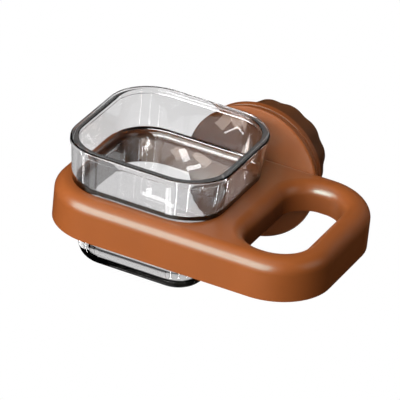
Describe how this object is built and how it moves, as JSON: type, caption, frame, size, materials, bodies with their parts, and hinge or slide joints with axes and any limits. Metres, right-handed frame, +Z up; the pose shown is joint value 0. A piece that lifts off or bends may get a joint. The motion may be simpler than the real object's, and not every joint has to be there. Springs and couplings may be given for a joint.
{
  "type": "bird cage seed cup",
  "caption": "Clear square seed cup that lifts out of a plastic bracket with a perch loop, held to cage bars by a round screw clamp.",
  "frame": {"origin": "middle of the bracket's clamp face, where the bolt comes out of it", "axes": "+Y along the bolt through the cage bars, away from the cup; +Z up; +X from the cup towards the perch loop"},
  "size_m": [0.14, 0.115, 0.067],
  "materials": {
    "bracket": "satin moulded plastic, terracotta brown",
    "cup": "clear moulded plastic, polished",
    "bolt": "zinc plated",
    "plate": "satin moulded plastic, lighter brown",
    "knob": "satin moulded plastic, dark brown",
    "nut": "zinc plated"
  },
  "bodies": {
    "bracket": {"bracket_frame": "bracket", "clamp_bolt": "bolt"},
    "cup": {"seed_cup": "cup"},
    "jaw": {"pressure_plate": "plate"},
    "knob": {"clamp_knob": "knob", "knob_nut": "nut"}
  },
  "joints": [
    {"name": "cup_lift", "type": "slide", "parent": "bracket", "child": "cup", "axis": [0, 0, 1], "range_m": [0, 0.05]},
    {"name": "clamp_open", "type": "slide", "parent": "bracket", "child": "jaw", "axis": [0, 1, 0], "range_m": [0, 0.008]},
    {"name": "knob_turn", "type": "hinge", "parent": "jaw", "child": "knob", "pos_m": [0, 0, 0], "axis": [0, 1, 0], "range_deg": [0, 2310]}
  ],
  "couplings": [
    {"joint": "knob_turn", "follows": "clamp_open", "rad_per_m": 5026.5}
  ]
}
